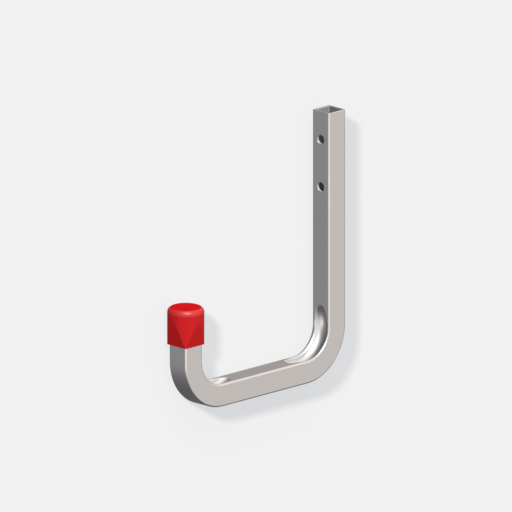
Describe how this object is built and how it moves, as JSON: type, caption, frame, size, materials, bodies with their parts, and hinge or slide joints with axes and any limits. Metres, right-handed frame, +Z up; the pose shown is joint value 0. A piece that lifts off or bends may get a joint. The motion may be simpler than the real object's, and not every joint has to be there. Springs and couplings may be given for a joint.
{
  "type": "garage utility hook",
  "caption": "J-shaped wall hook bent from square steel tube, with screw holes through its long leg and a red plastic cap pushed over its short leg.",
  "frame": {"origin": "on the wall face of the long leg, midway between the centres of its screw holes", "axes": "+Z up along the long leg, -Y out of the wall along the arm, X across the tube"},
  "size_m": [0.0238, 0.1489, 0.1754],
  "materials": {
    "zinc_plated_steel": "smooth bright zinc plating",
    "red_plastic": "moulded, soft gloss"
  },
  "bodies": {
    "root": {"bent_tube": "zinc_plated_steel", "end_cap": "red_plastic"}
  },
  "joints": []
}
